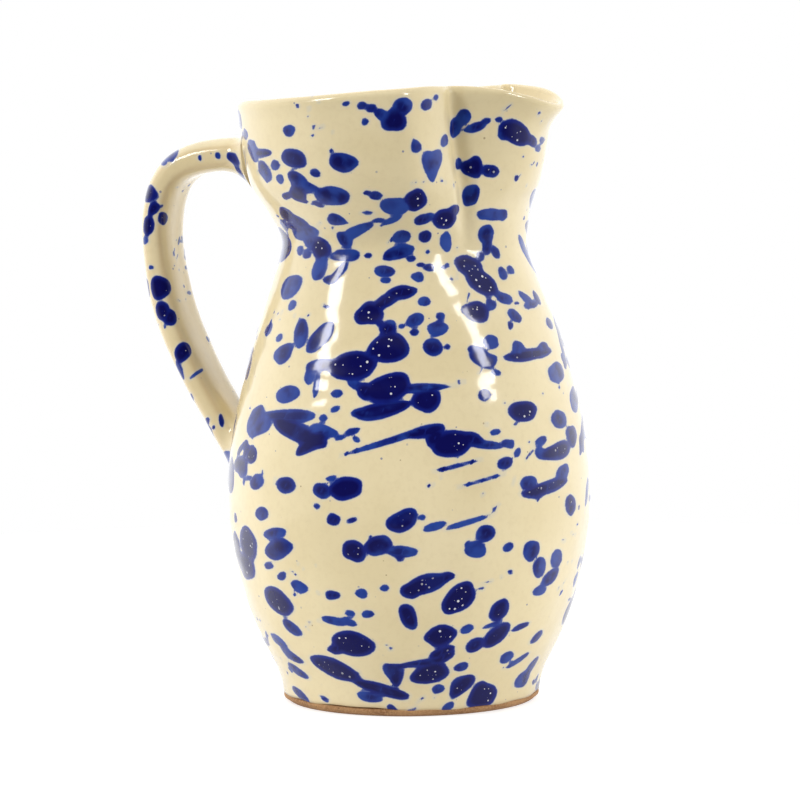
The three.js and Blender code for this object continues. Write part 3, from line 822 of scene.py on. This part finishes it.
# %% Web of clay at each end
# The radius of the web's curve in mm, at the upper and at the lower end.
WEB_OVER = (3.5, 6.0)
WEB_UNDER = (17.0, 7.0)
WEB_BESIDE = (8.0, 6.0)
upper_end = row_share < 0.5
over = np.where(upper_end, *WEB_OVER)[:, None] * np.maximum(through, 0) ** 2
under = np.where(upper_end, *WEB_UNDER)[:, None] * np.minimum(through, 0) ** 2
beside = np.where(upper_end, *WEB_BESIDE)[:, None] * across**2
fillet = (over + under + beside) / (across**2 + through**2)
distance = wall_distance(strap)
near = np.clip(distance / fillet, 0, 1)
flare = fillet * (1 - np.sqrt(1 - (1 - near) ** 2))
away_y = np.broadcast_to(across, flare.shape)
away = np.stack([through * heading[:, 1:], away_y, -through * heading[:, :1]], -1)
strap += flare[..., None] * away / np.linalg.norm(away, axis=-1, keepdims=True)
for _ in range(4):
    # A point that slid along the wall keeps the distance to it that it had before.
    astray = np.maximum(distance, -WELD_DEPTH) - wall_distance(strap)
    level = strap * (1, 1, 0)
    strap += astray[..., None] * level / np.linalg.norm(level, axis=-1, keepdims=True)
handle = ring_mesh("handle_pulled", strap * MM)
add_map(handle.data, np.arange(STRAP_COLUMNS) / STRAP_COLUMNS, row_share)
print(handle.name, "has", len(handle.data.polygons) * 2, "triangles")

# %% [markdown]
# The splashes went on after the handle, so they cross the strap too. The blots that show from
# the front are given as before, by where they are seen, and the nearest point of the strap that
# faces us takes them. Their tilt is measured from straight across the strap.

# %% Blots on the handle
HANDLE_BLOTS = [
    (-97.3, 229.6, 7, 5, 60), (-100, 227, 5, 3.4, 20), (-107, 212.5, 7, 5.4, 80, 0, 1),
    (-104.6, 206.4, 7, 5, 60, 0, 1), (-100.4, 202, 6.4, 4.4, 100, 0, 0.9),
    (-107.2, 199.4, 8.6, 6, 85, 0, 1), (-108.4, 193, 3.4, 2.4, 80), (-71.2, 227.2, 6, 3.6, 70, 0, 0.9),
    (-77.8, 228.9, 3, 2.4), (-68, 221, 4.4, 2.6, 30, 0, 0.3), (-101.9, 173.4, 10.6, 9.6, 80, 0, 1),
    (-101.4, 163.6, 8.4, 7, 95, 0, 1), (-97.6, 160.6, 7.4, 6.4, 60, 0, 0.9),
    (-92.8, 146.4, 9.6, 7.4, 30, 0.2, 1), (-94, 139, 8, 2.4, 85), (-86.4, 137.4, 9, 1.5, 8, 0.2, 0.3),
    (-89.4, 127.2, 3.4, 2.4, 60), (-82.8, 117.2, 3.4, 2.2, 50), (-76.4, 118, 6, 2.6, 60),
    (-77, 101, 6, 5, 30), (-90.4, 186, 2, 2.4), (-90.6, 182, 1.8, 1.8), (-89.6, 171.4, 2, 1.7),
    (-106, 181.6, 2.4, 1.8), (-85.6, 227.4, 2.4, 1.8),
]
strap_angles = 2 * math.pi * np.arange(STRAP_COLUMNS) / STRAP_COLUMNS
strap_ways = row_share * strap_length
strap_radius = strap_girth / (2 * math.pi)
strap_field = GlazeField(strap_angles, strap_ways, np.full(STRAP_ROWS, strap_radius))
strap_sheet, strap_facing = seen_on_sheet(strap)
handle_rng = np.random.default_rng(8)
for seen_at, height, *shape in HANDLE_BLOTS:
    row, column, squeeze = spot(strap_sheet, strap_facing, seen_at, height)
    strap_field.blot(handle_rng, strap_angles[column], strap_ways[row], *shape, squeeze=squeeze)
HANDLE_FLICKS = 26
for _ in range(HANDLE_FLICKS):
    angle, way = handle_rng.uniform(0, 2 * math.pi), handle_rng.uniform(8, strap_length - 8)
    row = np.abs(strap_ways - way).argmin()
    column = int(angle / (2 * math.pi) * STRAP_COLUMNS)
    usual, spread = (5.5, 0.4) if strap_facing[row, column] < 0 else (1.6, 0.3)
    size = handle_rng.lognormal(math.log(usual), spread)
    flick(strap_field, handle_rng, angle, way, size, int(handle_rng.integers(2, 5)), strap_radius)
strap_field.store(handle.data, 0)
print("Cobalt covers", round(100 * (strap_field.depth > 0).mean()), "% of the handle")

# %% [markdown]
# Glaze runs off edges while it is molten, so it is thin, and browner, on the rim and along the
# ridges of the handle. That is one more value on the points of each mesh.

# %% Where the glaze is thin
def store_thin(mesh, values):
    """Writes how thin the glaze is, from 0 to 1, to the points of a mesh."""
    layer = mesh.attributes.new("thin", "FLOAT", "POINT")
    layer.data.foreach_set("value", values.astype(np.float32).ravel())


lip_way = wall_length[wall_start + OUTSIDE_ROWS + len(lip) // 2]
thin_rows = 0.22 * bell(wall_length - lip_way, 2.4) + 0.6 * bell(wall_length, 1.3)
store_thin(body.data, np.repeat(thin_rows[:, None], COLUMNS, 1))
store_thin(handle.data, np.tile(0.5 * bell(np.abs(across) - 0.93, 0.06), (STRAP_ROWS, 1)))

# %% [markdown]
# ## Relief of the glaze
#
# Hands leave shallow rings up a thrown wall, the surface dips and swells a little, and the
# cobalt lies on top of the cream. This is a rule that follows the surface, so it is one
# Geometry Nodes tree for both glazed pieces: it moves each point along its own normal. The
# result is kept as a plain mesh, because the shape has to be in the part itself.

# %% Glaze relief tree
relief = bpy.data.node_groups.new("glaze_relief", "GeometryNodeTree")
RELIEF_INPUTS = {
    "Geometry": ("Geometry", None), "Ring Spacing": ("Float", 0.009), "Ring Depth": ("Float", 0.0001),
    "Swell": ("Float", 0.0002), "Swell Size": ("Float", 0.04), "Cobalt Depth": ("Float", 0.0001),
    "Inset": ("Float", 0.0004), "Material": ("Material", None),
}
for name, (kind, value) in RELIEF_INPUTS.items():
    item = relief.interface.new_socket(name, in_out="INPUT", socket_type="NodeSocket" + kind)
    if value is not None:
        item.default_value = value
relief.interface.new_socket("Geometry", in_out="OUTPUT", socket_type="NodeSocketGeometry")
given = relief.nodes.new("NodeGroupInput").outputs
result = relief.nodes.new("NodeGroupOutput").inputs

position = add(relief, "GeometryNodeInputPosition").outputs[0]
wander = add(relief, "ShaderNodeTexNoise", Vector=position, Scale=30.0, Detail=1.0).outputs[0]
level = add(relief, "ShaderNodeSeparateXYZ", in0=position).outputs[2]
rings = maths(relief, "DIVIDE", level, given["Ring Spacing"])
rings = maths(relief, "MULTIPLY_ADD", wander, 3.0, rings)
waves = maths(relief, "SINE", maths(relief, "MULTIPLY", rings, 2 * math.pi))
rings = maths(relief, "MULTIPLY", waves, given["Ring Depth"])
size = maths(relief, "DIVIDE", 1.0, given["Swell Size"])
swell = add(relief, "ShaderNodeTexNoise", Vector=position, Scale=size, Detail=2.0).outputs[0]
swell = maths(relief, "MULTIPLY", maths(relief, "SUBTRACT", swell, 0.5), given["Swell"])
stored = add(relief, "GeometryNodeInputNamedAttribute", {"data_type": "FLOAT"}, Name="splash").outputs[0]
raised = maths(relief, "MULTIPLY", fade(relief, stored, -0.5, 1.0), given["Cobalt Depth"])
total = maths(relief, "ADD", maths(relief, "ADD", rings, swell), raised)
total = maths(relief, "SUBTRACT", total, given["Inset"])
normal = add(relief, "GeometryNodeInputNormal").outputs[0]
offset = add(relief, "ShaderNodeVectorMath", {"operation": "SCALE"}, in0=normal, Scale=total).outputs[0]
moved = add(relief, "GeometryNodeSetPosition", Geometry=given["Geometry"], Offset=offset)
real = add(relief, "GeometryNodeRealizeInstances", in0=moved.outputs[0])
coated = add(relief, "GeometryNodeSetMaterial", Geometry=real.outputs[0], Material=given["Material"])
relief.links.new(coated.outputs[0], result[0])


# %% Give a piece its relief
def apply_tree(piece, tree, **sizes):
    """Runs a Geometry Nodes tree on a piece with named sizes, and keeps the result as a mesh."""
    modifier = piece.modifiers.new(tree.name, "NODES")
    modifier.node_group = tree
    inputs = [item for item in tree.interface.items_tree if item.in_out == "INPUT"]
    sockets = {item.name: item.identifier for item in inputs}
    for name, value in sizes.items():
        modifier[sockets[name.replace("_", " ")]] = value
    depsgraph = bpy.context.evaluated_depsgraph_get()
    evaluated = piece.evaluated_get(depsgraph)
    mesh = bpy.data.meshes.new_from_object(evaluated, depsgraph=depsgraph)
    mesh.name = piece.name
    piece.modifiers.clear()
    piece.data = mesh


apply_tree(body, relief, Material=glaze, Ring_Depth=0.00005, Swell=0.0009, Swell_Size=0.03)
apply_tree(handle, relief, Material=glaze, Ring_Depth=0.0, Swell=0.0009, Swell_Size=0.022)
for piece in (body, handle):
    print(piece.name, "is coated with", [coat.name for coat in piece.data.materials])

# %% [markdown]
# ## Foot
#
# The potter wipes the glaze off the foot, or it would stick to the kiln shelf. What shows is a
# low band of bare clay, fired to a tan brown, with a turned chamfer. Under it is a ring that the
# pot stands on, round a slightly hollow middle with spiral marks from the turning tool.

# %% Foot
FOOT_COLUMNS = 240
CONTACT_RADIUS = 50.8
HOLLOW_RADIUS = 43
TOOL_STEP = 3.1  # mm between the turns of the tool's spiral
hollow_radii = np.linspace(1.5, HOLLOW_RADIUS, 60)
hollow = np.stack([hollow_radii, 1.3 - 0.5 * (hollow_radii / HOLLOW_RADIUS) ** 3], -1)
stand = np.array([
    (44.5, 0.45), (45.8, 0.1), (46.6, 0), (48.8, 0), (CONTACT_RADIUS - 0.7, 0), (CONTACT_RADIUS, 0.12),
])
band = np.array([
    (51.6, 0.7), (52.4, 1.3), (52.9, 1.75), (53.0, 2.2), (53.0, 2.7), (52.9, 3.2), (51.8, 3.5), (46, 3.5),
])
foot_profile = np.vstack([hollow, stand, band])
foot_angles = np.linspace(-math.pi, math.pi, FOOT_COLUMNS, endpoint=False)
angle, row = np.meshgrid(foot_angles, np.arange(len(foot_profile)))
radius, z = foot_profile[row, 0], foot_profile[row, 1].copy()
spiral = 0.16 * np.sin(2 * math.pi * radius / TOOL_STEP + angle) * ramp(radius, 2, 8)
z += np.where(row < len(hollow), spiral, 0)
wiped_edge = 0.12 * np.sin(5 * angle) + 0.08 * np.sin(13 * angle + 1)
z += np.where(radius > 52, wiped_edge, 0) * ramp(z, 0.2, 1.2)
out_of_round = 0.07 * np.sin(9 * angle) * ramp(z, 0.1, 1)
radius = radius + np.where(row >= len(hollow) + 3, out_of_round, 0)
foot_points = np.stack([radius * np.cos(angle), radius * np.sin(angle), z], -1)
foot = ring_mesh("foot_bare_clay", foot_points * MM)
foot_way = np.concatenate([[0], np.cumsum(np.linalg.norm(np.diff(foot_profile, axis=0), axis=1))])
add_map(foot.data, np.arange(FOOT_COLUMNS) / FOOT_COLUMNS, foot_way)

# %% Bare clay material
clay = bpy.data.materials.new("bare_red_clay")
clay.use_nodes = True
tree = clay.node_tree
shader = tree.nodes["Principled BSDF"]
place = add(tree, "ShaderNodeTexCoord").outputs["Object"]
patches = fade(tree, noise(tree, place, 14, 3), 0.35, 0.65)
warm = mix(tree, patches, colour(172, 130, 86), colour(144, 102, 64))
grit = mix(tree, fade(tree, noise(tree, place, 0.8, 3, 0.7), 0.4, 0.7), warm, colour(190, 148, 104))
grit = mix(tree, speckles(tree, place, 2.2, 0.5, 0.3), grit, colour(92, 62, 42))
# The clay is painted darker towards the very bottom of the foot, in its lowest mm.
level = add(tree, "ShaderNodeSeparateXYZ", in0=place).outputs[2]
darker_at_bottom = maths(tree, "MULTIPLY", fade(tree, level, 0.0009, 0.0, 0.0, 1.0), 0.5)
grit = mix(tree, darker_at_bottom, grit, colour(120, 86, 58))
tree.links.new(grit, shader.inputs["Base Color"])
tree.links.new(fade(tree, noise(tree, place, 3, 3), 0.3, 0.7, 0.72, 0.92), shader.inputs["Roughness"])
bump = add(tree, "ShaderNodeBump", Strength=0.6, Distance=0.0002, Height=noise(tree, place, 0.7, 4, 0.7))
tree.links.new(bump.outputs["Normal"], shader.inputs["Normal"])
foot.data.materials.append(clay)
print(foot.name, "has", len(foot.data.polygons) * 2, "triangles")

# %% [markdown]
# ## Light and floor
#
# Glaze shows what it reflects, so the light is what makes it look wet. The pot stands in a white
# room that is dim in front, which leaves the middle of the pot a little darker, and bright behind,
# which whitens its sides. A tall window on each side draws the two upright streaks on the shoulder.
# Each window has a curtain, which hangs lower and adds soft light that the glaze doesn't mirror.
# The floor is pale paper that glows a little, and more for the camera. In reflections it is dark in
# front of the pot.

# %% Room and windows
world = bpy.data.worlds.new("white_room")
bpy.context.scene.world = world
world.use_nodes = True
tree = world.node_tree
backdrop = tree.nodes["Background"]
way = add(tree, "ShaderNodeTexCoord").outputs["Generated"]


def sector(direction, edge, middle):
    """1 round a level direction, fading to 0 at the edge. Both are cosines of the angle to it."""
    level = add(tree, "ShaderNodeVectorMath", {"operation": "MULTIPLY"}, in0=way, in1=(1, 1, 0)).outputs[0]
    level = add(tree, "ShaderNodeVectorMath", {"operation": "NORMALIZE"}, in0=level).outputs[0]
    facing = add(tree, "ShaderNodeVectorMath", {"operation": "DOT_PRODUCT"}, in0=level,
                 in1=tuple(direction)).outputs["Value"]
    return fade(tree, facing, edge, middle)


DIM_IN_FRONT = 0.97  # share of the light that is missing in front
OVERHEAD = 0.2
BEHIND = 0.75
SOFT_LIGHT = 0.71  # strength of the room as a source of soft light
MIRRORED_ROOM = 0.5  # strength of the room where the glaze mirrors it

height = add(tree, "ShaderNodeSeparateXYZ", in0=way).outputs[2]
low_down = fade(tree, height, 0.75, 0.45)
dim = maths(tree, "MULTIPLY", maths(tree, "MULTIPLY", sector(front, 0.25, 0.7), low_down), DIM_IN_FRONT)
overhead = maths(tree, "MULTIPLY", fade(tree, height, 0.5, 0.8), OVERHEAD)
behind = maths(tree, "MULTIPLY", sector(-front, -0.2, 0.5), BEHIND)
room = maths(tree, "ADD", maths(tree, "SUBTRACT", 1.0, dim), maths(tree, "ADD", overhead, behind))
rays = add(tree, "ShaderNodeLightPath").outputs
soft = maths(tree, "MULTIPLY", room, SOFT_LIGHT)
shiny = maths(tree, "MULTIPLY", maths(tree, "ADD", room, behind), MIRRORED_ROOM)
strength = add(tree, "ShaderNodeMix", {"data_type": "FLOAT"}, in0=rays["Is Glossy Ray"],
               in2=soft, in3=shiny).outputs[0]
strength = add(tree, "ShaderNodeMix", {"data_type": "FLOAT"}, in0=rays["Is Camera Ray"],
               in2=strength, in3=1.0).outputs[0]
tree.links.new(strength, backdrop.inputs["Strength"])
backdrop.inputs["Color"].default_value = (1, 1, 1, 1)

WINDOW_DISTANCE = 1.7  # metres, like all the sizes of the room
MIDDLE_OF_POT = 0.15


def window(name, side_degrees, low, high, wide, power, mirrored=True):
    """A tall area light, turned side_degrees from the camera, lit from low to high in metres.

    The power is in watts. A light that isn't mirrored shows in no reflection."""
    angle = FRONT + math.radians(side_degrees)
    light = bpy.data.objects.new(name, bpy.data.lights.new(name, "AREA"))
    light.data.shape = "RECTANGLE"
    light.data.size = wide
    light.data.size_y = high - low
    light.data.energy = power
    light.data.color = (1, 0.985, 0.96)
    away = Vector((math.cos(angle), math.sin(angle), 0)) * WINDOW_DISTANCE
    light.location = away + Vector((0, 0, (low + high) / 2))
    toward = Vector((0, 0, MIDDLE_OF_POT)) - light.location
    light.rotation_euler = toward.to_track_quat("-Z", "Y").to_euler()
    light.visible_glossy = mirrored
    bpy.context.collection.objects.link(light)


# name, degrees, lowest, highest, width, watts
window("left_window", -66, 0.78, 1.5, 0.4, 14)
window("right_window", 58, 0.7, 1.5, 0.3, 11)
window("left_curtain", -66, 0.55, 1.5, 0.4, 4, mirrored=False)
window("right_curtain", 58, 0.55, 1.5, 0.4, 4, mirrored=False)
print("The windows stand", WINDOW_DISTANCE, "m from the pot")

# %% Floor
floor_mesh = bpy.data.meshes.new("floor")
FLOOR_RADIUS = 0.62
FLOOR_CORNERS = 128
rim_turns = np.linspace(0, 2 * math.pi, FLOOR_CORNERS, endpoint=False)
edge = np.stack([np.cos(rim_turns), np.sin(rim_turns), np.zeros(FLOOR_CORNERS)], -1) * FLOOR_RADIUS
floor_mesh.from_pydata(edge.tolist(), [], [list(range(FLOOR_CORNERS))])
floor = bpy.data.objects.new("floor", floor_mesh)
bpy.context.collection.objects.link(floor)
paper = bpy.data.materials.new("white_paper")
paper.use_nodes = True
tree = paper.node_tree
shader = tree.nodes["Principled BSDF"]
fibres = noise(tree, add(tree, "ShaderNodeTexCoord").outputs["Object"], 3, 3)
white = mix(tree, fibres, colour(196, 196, 197), colour(204, 204, 204))
rays = add(tree, "ShaderNodeLightPath").outputs
glossy_ray = rays["Is Glossy Ray"]
on_floor = add(tree, "ShaderNodeTexCoord").outputs["Object"]
ahead = add(tree, "ShaderNodeVectorMath", {"operation": "DOT_PRODUCT"}, in0=on_floor, in1=tuple(front))
in_front = maths(tree, "MULTIPLY", glossy_ray, fade(tree, ahead.outputs["Value"], -0.04, 0.12))
tree.links.new(mix(tree, in_front, white, colour(60, 60, 60)), shader.inputs["Base Color"])
shader.inputs["Roughness"].default_value = 0.9
glow = maths(tree, "MULTIPLY_ADD", rays["Is Camera Ray"], 0.2, fade(tree, in_front, 0, 1, 0.4, 0.03))
tree.links.new(glow, shader.inputs["Emission Strength"])
shader.inputs["Emission Color"].default_value = (1, 1, 1, 1)
floor_mesh.materials.append(paper)
bpy.context.scene.view_settings.view_transform = "Standard"
print("The floor is", 2 * FLOOR_RADIUS, "m across")

# %% [markdown]
# ## Hand the pieces over
#
# Every piece rides on the part's one body and stands for its CAD nodes. The joins belong to the
# handle piece, because smoothed clay has no seam.

# %% Finish
for piece, slot, nodes in (
    (body, "cream_glaze", ["body"]),
    (handle, "cream_glaze", ["handle", "upper_handle_join", "lower_handle_join"]),
    (foot, "bare_clay", ["foot"]),
):
    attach(piece, "root")
    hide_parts(*nodes)
